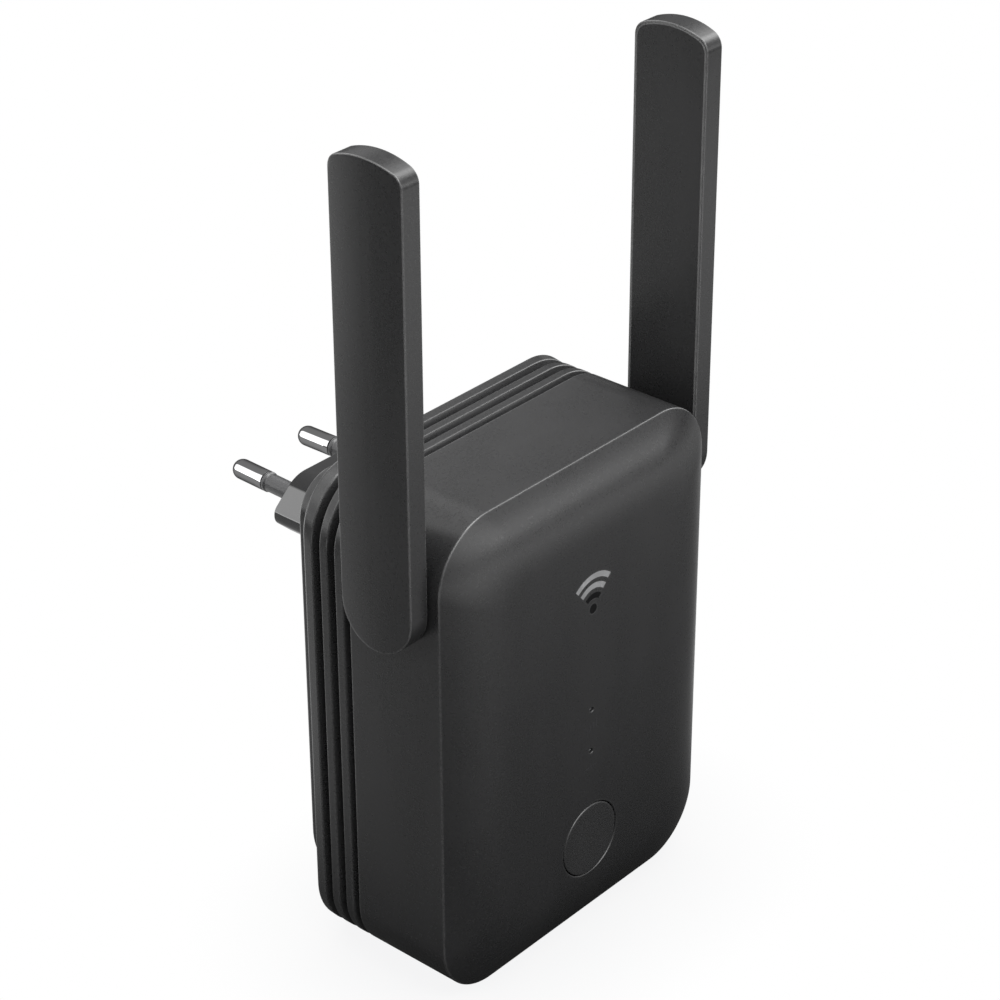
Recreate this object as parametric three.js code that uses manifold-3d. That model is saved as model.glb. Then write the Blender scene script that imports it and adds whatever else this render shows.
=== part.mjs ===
// Plug-in wifi range extender with two fold-out paddle antennas.
// Millimetres, +Z up. The front of the case faces -Y and the mains pins point along +Y.
// The origin is the centre of the end face of the plug, between the two pins.
// Left is -X and right is +X.
import * as THREE from 'three';
import { mergeVertices } from 'three/addons/utils/BufferGeometryUtils.js';
import Module from 'manifold-3d';

const wasm = await Module();
wasm.setup();

// ---------------------------------------------------------------- driving dimensions
const WALL = 2.0;
const FIT_GAP = 0.3;            // clearance between mating parts
const SEAT_GAP = 0.05;          // air between touching parts, so that they stay separate
const SIDES = [['left', -1], ['right', 1]];

// case outline, seen from the front
const HALF_W = 36.0;
const TOP = 25.05;
const BOTTOM = -73.55;
const CORNER_R = 12.5;

// stations along Y
const Y_FRONT = -61.86;         // flat of the front face
const Y_CREASE = -57.76;        // crisp edge that runs round the front
const Y_MAIN = -36.76;          // rear edge of the front housing
const Y_PAD = -22.16;           // raised rear pad
const RING_C = { rear: -33.35, width: 1.9 };
const RING_B = { rear: -29.83, width: 1.85 };
const RING_A = { rear: -25.65, width: 2.45 };

// antennas: the pivot axis is also the centre line of the paddle
const ANT_IN = 36.42;
const ANT_OUT = 41.05;
const ANT_Y = -47.68;
const ANT_Z = 9.57;
const ANT_HALF = 8.0;
const ANT_TOP = 92.02;
const TRUNNION_R = 3.8;

// features of the front face, all on the centre line
const BUTTON_Z = -53.5;
const BUTTON_R = 7.3;
const LED_Z = { upper: -24.8, lower: -33.8 };
const BADGE = { halfWidth: 4.9, bottom: -4.4, top: 3.85 };

// circuit boards, and the planes their components sit on
const MAIN_Y0 = -54.6;
const MAIN_Y1 = -53.4;
const POWER_Y0 = -36.5;
const POWER_Y1 = -34.9;
const MAIN_REAR = MAIN_Y1 + SEAT_GAP;
const MAIN_FRONT = MAIN_Y0 - SEAT_GAP;
const POWER_FRONT = POWER_Y0 - SEAT_GAP;
const JACK = { halfWidth: 8, front: MAIN_REAR + 0.35, rear: -40.5 };

// screw places, as x, z
const CASE_SCREWS = [[-26, 15], [26, 15], [-27, -58], [27, -58]];
const MAIN_SCREWS = [[-18, 12], [18, 12], [-18, -64], [18, -64]];
const POWER_SCREWS = [[-17, 16], [17, -51]];

// ---------------------------------------------------------------- solids
// welds a geometry into a manifold, turned so that its volume is positive
function solid(geometry) {
  geometry.deleteAttribute('normal');
  geometry.deleteAttribute('uv');
  const welded = mergeVertices(geometry, 1e-4);
  const index = welded.index.array;
  const positions = welded.getAttribute('position').array;
  const corners = [];
  for (let i = 0; i < index.length; i += 3) {
    const triangle = [index[i], index[i + 1], index[i + 2]];
    if (new Set(triangle).size === 3) corners.push(...triangle);
  }
  const point = (i) => new THREE.Vector3().fromArray(positions, corners[i] * 3);
  let volume = 0;
  for (let i = 0; i < corners.length; i += 3) {
    volume += point(i).dot(point(i + 1).cross(point(i + 2)));
  }
  if (volume < 0) {
    for (let i = 0; i < corners.length; i += 3) {
      [corners[i], corners[i + 1]] = [corners[i + 1], corners[i]];
    }
  }
  return new wasm.Manifold(new wasm.Mesh({
    numProp: 3,
    vertProperties: new Float32Array(positions),
    triVerts: new Uint32Array(corners),
  }));
}
const join = (...solids) => solids.reduce((sum, next) => sum.add(next));
const cut = (base, ...tools) => tools.reduce((rest, tool) => rest.subtract(tool), base);

const box = (x0, x1, y0, y1, z0, z1) => solid(new THREE.BoxGeometry(x1 - x0, y1 - y0, z1 - z0)
  .translate((x0 + x1) / 2, (y0 + y1) / 2, (z0 + z1) / 2));

// cylinder along an axis; centre1 and centre2 are its other two coordinates, in x, y, z order
function rod(axis, radius, start, end, centre1, centre2, segments) {
  const geometry = new THREE.CylinderGeometry(radius, radius, end - start, segments);
  const middle = (start + end) / 2;
  if (axis === 'x') geometry.rotateZ(-Math.PI / 2).translate(middle, centre1, centre2);
  if (axis === 'y') geometry.translate(centre1, middle, centre2);
  if (axis === 'z') geometry.rotateX(Math.PI / 2).translate(centre1, centre2, middle);
  return solid(geometry);
}
// equal rods along Y, one at each x, z place
const rodsAt = (places, radius, y0, y1, segments) => places.map(
  ([x, z]) => rod('y', radius, y0, y1, x, z, segments));

function extrude(points, depth) {
  const shape = new THREE.Shape();
  points.forEach(([x, y], i) => (i ? shape.lineTo(x, y) : shape.moveTo(x, y)));
  shape.closePath();
  return new THREE.ExtrudeGeometry(shape, { depth, bevelEnabled: false });
}
// outline of (x, z) points pushed along Y
const alongY = (points, y0, y1) => solid(
  extrude(points, y1 - y0).rotateX(Math.PI / 2).translate(0, y1, 0));
// outline of (y, z) points pushed along X
const X_BASIS = new THREE.Matrix4().makeBasis(
  new THREE.Vector3(0, 1, 0), new THREE.Vector3(0, 0, 1), new THREE.Vector3(1, 0, 0));
const alongX = (points, x0, x1) => solid(
  extrude(points, x1 - x0).applyMatrix4(X_BASIS).translate(x0, 0, 0));

// a range measured from base towards + or -, returned lowest first
const towards = (side, from, to, base = 0) => (
  side > 0 ? [base + from, base + to] : [base - to, base - from]);

// eight-sided cable through a list of points
function cable(points, radius, steps) {
  const extrudePath = new THREE.CatmullRomCurve3(points.map((p) => new THREE.Vector3(...p)));
  const shape = new THREE.Shape();
  shape.moveTo(radius, 0);
  for (let i = 1; i < 8; i++) {
    const angle = (i / 8) * Math.PI * 2;
    shape.lineTo(radius * Math.cos(angle), radius * Math.sin(angle));
  }
  shape.closePath();
  return solid(new THREE.ExtrudeGeometry(shape, { steps, extrudePath, bevelEnabled: false }));
}

// rounded rectangle of (x, z) points, starting on the +X side and going round by the top
function rounded(halfWidth, top, bottom, topRadius, bottomRadius = topRadius) {
  const segments = 6;
  const points = [];
  const arc = (x, z, radius, start) => {
    for (let i = 0; i <= segments; i++) {
      const angle = start + (i / segments) * (Math.PI / 2);
      points.push([x + radius * Math.cos(angle), z + radius * Math.sin(angle)]);
    }
  };
  const topX = halfWidth - topRadius;
  const bottomX = halfWidth - bottomRadius;
  arc(topX, top - topRadius, topRadius, 0);
  arc(-topX, top - topRadius, topRadius, Math.PI / 2);
  arc(-bottomX, bottom + bottomRadius, bottomRadius, Math.PI);
  arc(bottomX, bottom + bottomRadius, bottomRadius, 1.5 * Math.PI);
  return points;
}
const caseLoop = (inset, radius = CORNER_R - inset) => rounded(
  HALF_W - inset, TOP - inset, BOTTOM + inset, radius);

// skin through a stack of [loop, y] stations with equal point counts, closed at both ends
function loft(stations) {
  const count = stations[0][0].length;
  const positions = stations.flatMap(([loop, y]) => loop.flatMap(([x, z]) => [x, y, z]));
  const index = [];
  for (let station = 0; station < stations.length - 1; station++) {
    for (let i = 0; i < count; i++) {
      const here = station * count + i;
      const next = station * count + ((i + 1) % count);
      index.push(here, next, next + count, here, next + count, here + count);
    }
  }
  const last = (stations.length - 1) * count;
  for (let i = 1; i < count - 1; i++) {
    index.push(0, i + 1, i);
    index.push(last, last + i, last + i + 1);
  }
  const geometry = new THREE.BufferGeometry();
  geometry.setAttribute('position', new THREE.BufferAttribute(new Float32Array(positions), 3));
  geometry.setIndex(index);
  return solid(geometry);
}
const prism = (loop, y0, y1) => loft([[loop, y0], [loop, y1]]);

// ---------------------------------------------------------------- the group and its materials
const group = new THREE.Group();
const MATERIALS = {
  shell: { color: 0x2f2f31, roughness: 0.55, metalness: 0 },
  shellRear: { color: 0x2b2b2d, roughness: 0.6, metalness: 0 },
  gloss: { color: 0x101012, roughness: 0.18, metalness: 0 },
  metal: { color: 0xc9c9cc, roughness: 0.18, metalness: 1 },
  sleeve: { color: 0x1d1d1f, roughness: 0.45, metalness: 0 },
  board: { color: 0x1f5a35, roughness: 0.5, metalness: 0.1 },
  copper: { color: 0xb87333, roughness: 0.35, metalness: 1 },
  tin: { color: 0xb9bcc0, roughness: 0.35, metalness: 1 },
  ferrite: { color: 0x3a3836, roughness: 0.7, metalness: 0.1 },
  tape: { color: 0xc9a227, roughness: 0.5, metalness: 0 },
  canBlack: { color: 0x24262c, roughness: 0.4, metalness: 0.2 },
  chip: { color: 0x17171a, roughness: 0.5, metalness: 0 },
  pad: { color: 0x9fb4c4, roughness: 0.8, metalness: 0 },
  clear: { color: 0xdfe6ea, roughness: 0.1, metalness: 0 },
  white: { color: 0xe8e6dc, roughness: 0.4, metalness: 0 },
  button: { color: 0x3a3a3d, roughness: 0.5, metalness: 0 },
  badge: { color: 0x9a9ca0, roughness: 0.3, metalness: 0.8 },
  steel: { color: 0x8c9096, roughness: 0.3, metalness: 1 },
  cable: { color: 0x141414, roughness: 0.5, metalness: 0 },
  brass: { color: 0xc8a24a, roughness: 0.3, metalness: 1 },
  glass: { color: 0xd8e4e8, roughness: 0.1, metalness: 0.1 },
};
function piece(name, manifold, material) {
  const { vertProperties, triVerts } = manifold.getMesh();
  const geometry = new THREE.BufferGeometry();
  geometry.setAttribute('position', new THREE.BufferAttribute(vertProperties, 3));
  geometry.setIndex(new THREE.BufferAttribute(triVerts, 1));
  geometry.computeVertexNormals();
  const mesh = new THREE.Mesh(geometry, new THREE.MeshStandardMaterial(MATERIALS[material]));
  mesh.name = name;
  group.add(mesh);
}

// ---------------------------------------------------------------- front housing
const PILLOW_IN = 15.2;         // how far in the domed border of the front reaches
const PILLOW_POWER = 2.6;
const PILLOW_INSETS = [0, 1.2, 3, 5.5, 9, PILLOW_IN];
const CUT_Y0 = -63;             // cutters for the front face run between these
const CUT_Y1 = -57;

function frontHousing() {
  const rim = PILLOW_INSETS.map((inset) => {
    const rise = 1 - (1 - inset / PILLOW_IN) ** PILLOW_POWER;
    return [caseLoop(inset, CORNER_R - 0.5 * inset), Y_CREASE - (Y_CREASE - Y_FRONT) * rise];
  });
  const skin = loft([[caseLoop(0), Y_MAIN], ...rim]);
  const hollow = loft([
    [caseLoop(WALL), Y_MAIN + 1],
    [caseLoop(WALL), -56.6],
    [caseLoop(8, 7.5), -58.6],
    [caseLoop(PILLOW_IN, 4.9), Y_FRONT + WALL],
  ]);
  const posts = [
    ...rodsAt(CASE_SCREWS, 3.2, -58.2, -38.3, 16),
    ...rodsAt(MAIN_SCREWS, 2.2, -60.2, MAIN_Y0 - 0.1, 12),
  ];
  const screwHoles = [
    ...rodsAt(CASE_SCREWS, 1.5, -46, -38, 12),
    ...rodsAt(MAIN_SCREWS, 1.2, -58.5, MAIN_Y0, 10),
  ];
  const buttonHole = rod('y', BUTTON_R + 0.4, CUT_Y0, CUT_Y1, 0, BUTTON_Z, 32);
  const ledHoles = Object.values(LED_Z).map((z) => rod('y', 0.85, CUT_Y0, CUT_Y1, 0, z, 12));
  const badgeX = BADGE.halfWidth + 0.2;
  const badgeRecess = box(-badgeX, badgeX, CUT_Y0, Y_FRONT + 0.6,
    BADGE.bottom - 0.25, BADGE.top + 0.25);
  const trunnionBore = rod('x', TRUNNION_R + FIT_GAP, -38, 38, ANT_Y, ANT_Z, 24);
  const jackX = JACK.halfWidth + 0.4;
  const jackOpening = box(-jackX, jackX, JACK.front - FIT_GAP, JACK.rear + FIT_GAP,
    BOTTOM - 1, BOTTOM + 4);
  return cut(join(cut(skin, hollow), ...posts), ...screwHoles,
    buttonHole, ...ledHoles, badgeRecess, trunnionBore, jackOpening);
}
piece('front_housing', frontHousing(), 'shell');

// ---------------------------------------------------------------- plug outline
const PLUG_HALF_W = 17.65;
const PLUG_HALF_H = 6.3;
// x, z of the upper right quarter, from the side tip to the flat top
const PLUG_QUARTER = [
  [PLUG_HALF_W, 0.12], [17.47, 0.97], [16.93, 1.755], [13.893, 4.494],
  [12.87, 5.262], [11.71, 5.835], [10.476, 6.183], [9.2, PLUG_HALF_H],
];

// flat hexagonal outline with softened corners
function plugOutline(grow = 0) {
  const quarter = PLUG_QUARTER.map(
    ([x, z]) => [x * (1 + grow / PLUG_HALF_W), z * (1 + grow / PLUG_HALF_H)]);
  const upper = [...quarter, ...quarter.map(([x, z]) => [-x, z]).reverse()];
  return [...upper, ...upper.map(([x, z]) => [x, -z]).reverse()];
}

// ---------------------------------------------------------------- rear housing
const GROOVE = 2.3;             // depth of the vent grooves between the rings
const PAD = { halfWidth: 33.0, top: 21.75, bottom: -67.0, topRadius: 7.5, bottomRadius: 15.0 };
const SLOT_X = [-18, -6, 6, 18];
const SLOT_HALF = 4;
const SLOT_DEPTH = 6;

const padLoop = (inset) => rounded(PAD.halfWidth - inset, PAD.top - inset,
  PAD.bottom + inset, PAD.topRadius - inset * 0.6, PAD.bottomRadius - inset);

// slots through the top and bottom walls, just behind rings B and C
function ventSlots() {
  return [RING_B, RING_C].flatMap(({ rear }) => SLOT_X.flatMap((x) => {
    const slot = (z0, z1) => box(x - SLOT_HALF, x + SLOT_HALF, rear + 0.3, rear + 1.45, z0, z1);
    return [slot(TOP - SLOT_DEPTH, TOP + 1), slot(BOTTOM - 1, BOTTOM + SLOT_DEPTH)];
  }));
}

// three rings on a recessed sleeve, closed by the raised pad
function rearHousing() {
  const sleeve = prism(caseLoop(GROOVE), -39.6, RING_A.rear - 0.5);
  const rings = [RING_C, RING_B, RING_A].map(
    ({ rear, width }) => prism(caseLoop(0), rear - width, rear));
  const pad = prism(padLoop(0), RING_A.rear - 1, Y_PAD);
  const shell = cut(join(sleeve, ...rings, pad),
    prism(caseLoop(GROOVE + 1.5), -41, RING_A.rear - WALL),
    prism(padLoop(2), RING_A.rear - 3, Y_PAD - WALL));
  const tubes = rodsAt(CASE_SCREWS, 4.6, -38, Y_PAD - 1, 16);
  const posts = rodsAt(POWER_SCREWS, 2.3, POWER_Y1 + 0.1, Y_PAD - 1, 12);
  return cut(join(shell, ...tubes, ...posts),
    ...rodsAt(CASE_SCREWS, 3.3, -33.5, Y_PAD + 1, 16),
    ...rodsAt(CASE_SCREWS, 1.6, -39, -33, 12),
    ...rodsAt(POWER_SCREWS, 1.2, -36, -27, 10),
    alongY(plugOutline(FIT_GAP), -30, -20),
    ...ventSlots());
}
piece('rear_housing', rearHousing(), 'shellRear');

// ---------------------------------------------------------------- plug, pins, sleeves, contacts
const PIN_BASE_X = 9.3;         // pins lean towards each other
const PIN_TIP_X = 8.75;
const PIN_LEN = 19.0;
const PIN_R = 2.0;
const PIN_CORE_R = 1.25;        // inside the sleeve and the plug
const PIN_TAIL_Y = -29.2;
const SLEEVE_END = 10.2;
const SLEEVE_START = -1.6;
const SLEEVE_BORE_R = 1.55;
const PIN_SLOPE = (PIN_BASE_X - PIN_TIP_X) / PIN_LEN;
const CONTACT_DEPTH = 29;       // where the contact meets the pin, inwards from the end face
const CONTACT_Y = POWER_Y1 + SEAT_GAP;
// y, z of the bent contact strip
const CONTACT_PROFILE = [
  [CONTACT_Y, -6], [CONTACT_Y + 0.5, -6], [CONTACT_Y + 0.5, -2.5], [-30, -2.5], [-29.5, -2.5],
  [-29.5, 2], [-30, 2], [-30, -2], [CONTACT_Y, -2],
];

// leans a solid built along Y inwards and moves it to its pin's place
const onPinAxis = (manifold, side) => manifold
  .rotate([0, 0, side * THREE.MathUtils.radToDeg(Math.atan(PIN_SLOPE))])
  .translate([side * PIN_BASE_X, 0, 0]);

// profile of [radius, y] points turned about Y
const turned = (profile) => solid(new THREE.LatheGeometry(
  profile.map(([radius, y]) => new THREE.Vector2(radius, y)), 20));

function plugBlock() {
  const bores = SIDES.flatMap(([, side]) => [
    onPinAxis(rod('y', 2.2, -2, 3, 0, 0, 20), side),
    onPinAxis(rod('y', SLEEVE_BORE_R, -33, 1, 0, 0, 16), side),
  ]);
  const flange = box(-21, 21, -26.4, Y_PAD - WALL - FIT_GAP, -9.5, 9.5);
  const innerBlock = box(-14.5, 14.5, -29, -26, -5.5, 5.5);
  return cut(join(alongY(plugOutline(), -25.5, 0), flange, innerBlock), ...bores);
}

function plugPin() {
  const tip = [];
  for (let i = 0; i < 5; i++) {
    const angle = (i / 5) * (Math.PI / 2);
    tip.push([PIN_R * Math.cos(angle), PIN_LEN - PIN_R + PIN_R * Math.sin(angle)]);
  }
  const step = SLEEVE_END + 0.3;
  return turned([[0, PIN_TAIL_Y], [PIN_CORE_R, PIN_TAIL_Y], [PIN_CORE_R, step],
    [PIN_R, step], ...tip, [0, PIN_LEN]]);
}

const pinSleeve = () => turned([
  [SLEEVE_BORE_R, SLEEVE_START], [1.9, SLEEVE_START], [1.9, SLEEVE_END - 1.3],
  [PIN_R, SLEEVE_END - 1.1], [PIN_R, SLEEVE_END],
  [SLEEVE_BORE_R, SLEEVE_END], [SLEEVE_BORE_R, SLEEVE_START],
]);

piece('plug_block', plugBlock(), 'gloss');
for (const [name, side] of SIDES) {
  piece(`plug_pin_${name}`, onPinAxis(plugPin(), side), 'metal');
  piece(`pin_sleeve_${name}`, onPinAxis(pinSleeve(), side), 'sleeve');
  const x = side * (PIN_BASE_X + PIN_SLOPE * CONTACT_DEPTH);
  piece(`mains_contact_${name}`, alongX(CONTACT_PROFILE, x - 2, x + 2), 'copper');
}

// ---------------------------------------------------------------- power board
// shallow notches at the upper side edges clear the case screw tubes
piece('power_board', cut(box(-21, 21, POWER_Y0, POWER_Y1, -55, 20),
  box(-24, -20.8, -40, -30, 9.9, 21),
  box(20.8, 24, -40, -30, 9.9, 21),
  ...rodsAt(POWER_SCREWS, 1.3, -38, -33, 12)), 'board');
// the core has two windows; the winding goes round the leg between them
piece('transformer_core', cut(box(-19, -1, -47.5, -38.3, -23, -3),
  box(-17, -12.5, -50, -36, -20, -6),
  box(-7.5, -3, -50, -36, -20, -6)), 'ferrite');
piece('transformer_winding', cut(box(-16.7, -3.3, -49.2, POWER_FRONT, -19.7, -6.3),
  box(-12.8, -7.2, -47.8, -38.0, -25, 0)), 'tape');
for (const [name, z0, z1] of [['upper', -1, 15], ['lower', -20, -4]]) {
  piece(`bulk_capacitor_${name}`, rod('z', 5, z0, z1, 12, POWER_FRONT - 5, 20), 'canBlack');
}
piece('output_capacitor', rod('z', 4, -43, -31, -11, POWER_FRONT - 4, 18), 'canBlack');
piece('bridge_rectifier', box(4, 10, POWER_FRONT - 2.5, POWER_FRONT, -34, -28), 'chip');
piece('mains_fuse', rod('z', 2, 3, 11, -13, POWER_FRONT - 2, 14), 'glass');
piece('line_choke', rod('y', 4.2, POWER_FRONT - 7.5, POWER_FRONT, -4, 8, 18), 'ferrite');
piece('board_link_header', box(-19, -14, MAIN_REAR, POWER_FRONT, -52, -44.5), 'chip');

// ---------------------------------------------------------------- main board
piece('main_board', cut(box(-22, 22, MAIN_Y0, MAIN_Y1, -68.5, 18),
  ...rodsAt(MAIN_SCREWS, 1.2, -56, -52, 12)), 'board');
piece('wifi_chip', box(-7, 7, MAIN_REAR, MAIN_REAR + 1, -22, -8), 'chip');
piece('thermal_pad', box(-7, 7, MAIN_REAR + 1 + SEAT_GAP, MAIN_REAR + 2.2, -22, -8), 'pad');
piece('rf_shield', cut(box(-14, 14, MAIN_REAR, MAIN_REAR + 2.7, -30, 2),
  box(-13.6, 13.6, MAIN_REAR - 1, MAIN_REAR + 2.25, -29.6, 1.6)), 'tin');
// socket opening at the bottom, with a narrower slot along its rear side
piece('ethernet_jack', cut(
  box(-JACK.halfWidth, JACK.halfWidth, JACK.front, JACK.rear, -73.2, -57.6),
  box(-5.9, 5.9, -50.2, -43.6, -74, -60),
  box(-3.0, 3.0, -44, -41.9, -74, -60)), 'tin');
for (const [name, z] of Object.entries(LED_Z)) {
  piece(`status_led_${name}`,
    box(-0.8, 0.8, MAIN_FRONT - 0.8, MAIN_FRONT, z - 0.4, z + 0.4), 'white');
  piece(`light_pipe_${name}`, join(
    rod('y', 1.2, -59, MAIN_FRONT - 0.95, 0, z, 12),
    rod('y', 1.8, -59.5, -58.7, 0, z, 12),
    rod('y', 0.52, Y_FRONT + 0.05, -59, 0, z, 12)), 'clear');
}

// ---------------------------------------------------------------- pair button and badge
const buttonRod = (radius, y0, y1, segments) => rod('y', radius, y0, y1, 0, BUTTON_Z, segments);
piece('switch_body', cut(box(-3, 3, -56.9, MAIN_FRONT, BUTTON_Z - 3, BUTTON_Z + 3),
  buttonRod(1.9, -58, -55.6, 14)), 'chip');
piece('switch_plunger', buttonRod(1.6, -57.85, -56.4, 14), 'white');
// cap, wider flange and a small boss that faces the plunger
piece('pair_button', join(
  buttonRod(BUTTON_R, Y_FRONT, -58.6, 32),
  buttonRod(8.4, -58.9, -58.2, 32),
  buttonRod(1.5, -58.4, -57.9, 12)), 'button');
piece('front_badge', box(-BADGE.halfWidth, BADGE.halfWidth, Y_FRONT + 0.02, Y_FRONT + 0.55,
  BADGE.bottom, BADGE.top), 'badge');

// ---------------------------------------------------------------- screws
// side is the Y direction the head points in, headBase the Y of the head's underside
const SCREW_SETS = [
  { name: 'case_screw', places: CASE_SCREWS, side: 1, headBase: -33.45,
    headHeight: 2.2, headRadius: 2.8, shankRadius: 1.2, length: 11.5 },
  { name: 'main_board_screw', places: MAIN_SCREWS, side: 1, headBase: MAIN_REAR,
    headHeight: 1.3, headRadius: 1.9, shankRadius: 0.9, length: 4.6 },
  { name: 'power_board_screw', places: POWER_SCREWS, side: -1, headBase: POWER_FRONT,
    headHeight: 1.3, headRadius: 2.1, shankRadius: 0.9, length: 7.5 },
];
const SLOT_THIN = 0.3;          // half width of the slots of the cross

function screw([x, z], { side, headBase, headHeight, headRadius, shankRadius, length }) {
  const span = (from, to) => towards(side, from, to, headBase);
  const head = rod('y', headRadius, ...span(0, headHeight), x, z, 14);
  const shank = rod('y', shankRadius, ...span(-length, 0.2), x, z, 10);
  const reach = headRadius * 0.62;
  const slot = (halfX, halfZ) => box(x - halfX, x + halfX,
    ...span(headHeight - 0.9, headHeight + 1), z - halfZ, z + halfZ);
  return cut(join(head, shank), slot(reach, SLOT_THIN), slot(SLOT_THIN, reach));
}
for (const set of SCREW_SETS) {
  set.places.forEach((place, i) => piece(`${set.name}_${i + 1}`, screw(place, set), 'steel'));
}

// ---------------------------------------------------------------- antennas
const COVER_OUT = 37.35;        // outer face of the cover plate
const CABLE_R = 0.6;
// x, y, z along the cables of the right antenna, from the paddle inwards
const COAX_PATH = [
  [38.6, ANT_Y, 29.7], [38.6, ANT_Y, 20], [38.55, ANT_Y, 14.5], [37.8, ANT_Y, 11],
  [35.8, ANT_Y, 9.7], [33.6, ANT_Y, ANT_Z], [31.6, ANT_Y, ANT_Z],
];
const PIGTAIL_PATH = [
  [30.9, ANT_Y, ANT_Z], [29, ANT_Y, 9.2], [26.5, ANT_Y - 0.6, 7.4],
  [23.5, -50.2, 5.2], [20.6, -52.0, 3.0], [18.6, -52.55, 1.6],
];

// paddle outline of (y, z) points: half circle at the pivot, shallow domed tip
function paddle(inset) {
  const radius = ANT_HALF - inset;
  const tipHeight = 3.5 - inset * 0.4;
  const tipBase = ANT_TOP - inset - tipHeight;
  const exponent = 2 / 2.2;     // superellipse of the tip
  const pivotEnd = [];
  const tip = [];
  for (let i = 0; i <= 12; i++) {
    const angle = (i / 12) * Math.PI;
    const cos = Math.cos(angle);
    pivotEnd.push([ANT_Y + radius * Math.cos(Math.PI + angle),
      ANT_Z + radius * Math.sin(Math.PI + angle)]);
    tip.push([ANT_Y + radius * Math.sign(cos) * Math.abs(cos) ** exponent,
      tipBase + tipHeight * Math.sin(angle) ** exponent]);
  }
  return [...pivotEnd, ...tip];
}

// from and to are distances out from the centre of the case
function antenna(name, side) {
  const plate = (inset, from, to) => alongX(paddle(inset), ...towards(side, from, to));
  const bar = (radius, from, to, segments = 24) => rod(
    'x', radius, ...towards(side, from, to), ANT_Y, ANT_Z, segments);
  const block = (from, to, ...yz) => box(...towards(side, from, to), ...yz);
  const run = (path, steps) => cable(path.map(([x, y, z]) => [side * x, y, z]), CABLE_R, steps);

  piece(`antenna_shell_${name}`, cut(plate(0, ANT_IN, ANT_OUT),
    plate(1.1, 37.3, ANT_OUT - 1.2),
    plate(0.45, ANT_IN - 0.5, 37.4)), 'shell');
  // the hollow trunnion has a groove for the clip
  const clipGroove = cut(bar(5, 31.3, 32.5), bar(3.2, 31, 33));
  piece(`antenna_cover_${name}`, cut(
    join(plate(0.75, ANT_IN, COVER_OUT), bar(TRUNNION_R, 30.6, 37.0)),
    bar(2.2, 30, 38, 16),
    clipGroove), 'shell');
  piece(`antenna_element_${name}`,
    block(38.3, 38.9, ANT_Y - 5.2, ANT_Y + 5.2, 30, 87), 'board');
  piece(`antenna_coax_${name}`, run(COAX_PATH, 16), 'cable');
  piece(`pivot_clip_${name}`, cut(bar(5.6, 31.55, 32.25), bar(3.5, 31, 33),
    block(31, 33, ANT_Y - 1.6, ANT_Y + 1.6, ANT_Z - 7, ANT_Z)), 'steel');
  piece(`friction_washer_${name}`, cut(bar(5.4, 32.55, 33.4), bar(4.1, 32, 34.5)), 'sleeve');
  piece(`coax_pigtail_${name}`, run(PIGTAIL_PATH, 14), 'cable');
  // both connectors sit on the right half of the main board for +X and the left for -X
  piece(`coax_connector_${name}`,
    block(16.8, 19.8, MAIN_REAR, MAIN_REAR + 1.25, -2, 0.6), 'brass');
}
for (const [name, side] of SIDES) antenna(name, side);

export default group;
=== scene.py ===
"""Plug-in wireless unit: a rounded box with a paddle antenna standing on each side.

Sizes are in millimetres and turned into metres as meshes are made. The front faces -Y, with
+X on the viewer's right and +Z up. Two pins point along +Y; the origin lies midway between
them, on the rear face of the plug block.
"""
import math
import random
from functools import reduce

import bmesh
import bpy
from mathutils import Matrix, Vector


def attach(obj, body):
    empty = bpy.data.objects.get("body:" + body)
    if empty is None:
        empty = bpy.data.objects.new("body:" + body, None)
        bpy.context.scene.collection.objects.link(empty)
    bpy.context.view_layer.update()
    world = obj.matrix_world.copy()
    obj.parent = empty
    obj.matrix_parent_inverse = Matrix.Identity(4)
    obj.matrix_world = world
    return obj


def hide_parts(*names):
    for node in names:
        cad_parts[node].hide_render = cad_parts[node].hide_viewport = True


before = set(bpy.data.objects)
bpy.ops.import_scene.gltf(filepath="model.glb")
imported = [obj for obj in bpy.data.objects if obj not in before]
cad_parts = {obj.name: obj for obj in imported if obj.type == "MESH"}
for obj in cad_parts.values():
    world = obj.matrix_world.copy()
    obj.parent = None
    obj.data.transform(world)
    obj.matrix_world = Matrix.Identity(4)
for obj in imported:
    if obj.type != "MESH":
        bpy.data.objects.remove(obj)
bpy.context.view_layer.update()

random.seed(7)
MM = 0.001

# ------------------------------------------------------------------ sizes, in millimetres
HALF_W, TOP, BOTTOM, CORNER_R = 36.0, 25.05, -73.55, 12.5    # outline of the case
Y_FRONT, Y_CREASE, Y_MAIN = -61.86, -57.76, -36.76           # front face, its edge, rear rim
WALL = 2.0
PILLOW_IN, PILLOW_POW = 15.2, 2.6        # width and steepness of the domed border of the front

GROOVE = 2.3                             # depth of the grooves between the rings of the rear
RING_EDGE, RING_DRAFT = 0.36, 1.2        # soft front edge of each ring, lean of its front wall
# y of the rear edge, width, radius at the foot of the front wall, radius of the rear edge
RINGS = ((-33.35, 1.9, 0.25, 0.45), (-29.83, 1.85, 0.2, 0.45), (-25.65, 2.45, 0.2, 0.7))
RINGS_END = RINGS[-1][0]
RINGS_END_W = RINGS[-1][1]
TONGUE_Y, TONGUE_IN = -39.6, 3.8         # front end and inset of the rear's inner wall
Y_PAD = -22.16                           # rear face of the raised pad
PAD_HALF_W, PAD_TOP, PAD_BOTTOM, PAD_TOP_R, PAD_BOTTOM_R = 33.0, 21.75, -67.0, 7.5, 15.0

ANT_IN, ANT_OUT = 36.42, 41.05           # distance of a paddle's two faces from the middle
ANT_Y, ANT_Z, ANT_HALF, ANT_TOP = -47.68, 9.57, 8.0, 92.02   # pivot, half width, tip
ANT_TIP = 3.8                            # height of the arch over the tip
ANT_BEVEL, ANT_CROWN = 0.22, 0.45        # rounded edge; fall of the outer face to its sides
ARC_STEPS, SIDE_POINTS = 40, 22

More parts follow.
